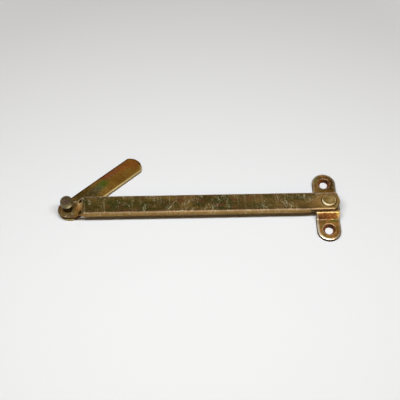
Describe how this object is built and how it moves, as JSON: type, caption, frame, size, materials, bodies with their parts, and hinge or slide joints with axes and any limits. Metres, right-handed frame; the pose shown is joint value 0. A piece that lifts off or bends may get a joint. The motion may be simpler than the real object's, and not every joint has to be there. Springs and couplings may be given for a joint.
{
  "type": "friction stay",
  "caption": "Casement window friction stay: a pressed channel arm pivots on a screw-down frame bracket and carries a headed stud with a folding short arm.",
  "frame": {"origin": "midway between the two screw holes, on the bracket's underside", "axes": "+Z away from the window frame, Y along the bracket, the channel arm along -X"},
  "size_m": [0.1676, 0.0631, 0.0127],
  "materials": {
    "bracket_plate": "yellow passivated zinc plate, golden brown, rubbed edges",
    "rivet_plate": "yellow passivated zinc plate, pale olive",
    "arm_plate": "yellow passivated zinc plate, olive, scratched",
    "stud_plate": "yellow passivated zinc plate, grey olive",
    "short_arm_plate": "yellow passivated zinc plate, golden brown with an iridescent tint",
    "spring_steel": "phosphated spring steel",
    "washer_steel": "plain zinc plate",
    "friction_fibre": "dark fibre"
  },
  "bodies": {
    "bracket": {"frame_bracket": "bracket_plate", "bracket_rivet": "rivet_plate", "friction_washer": "friction_fibre", "disc_spring": "spring_steel", "backing_washer": "washer_steel"},
    "arm": {"channel_arm": "arm_plate", "pivot_stud": "stud_plate", "stud_washer": "friction_fibre"},
    "short_arm": {"short_arm": "short_arm_plate"}
  },
  "joints": [
    {"name": "arm_swing", "type": "hinge", "parent": "bracket", "child": "arm", "pos_m": [0.0008, 0, 0.0071], "axis": [0, 0, 1], "range_deg": [-90, 90]},
    {"name": "short_arm_swing", "type": "hinge", "parent": "arm", "child": "short_arm", "pos_m": [-0.1542, 0, 0.001], "axis": [0, 0, 1], "range_deg": [-41.5, 138.5]}
  ]
}
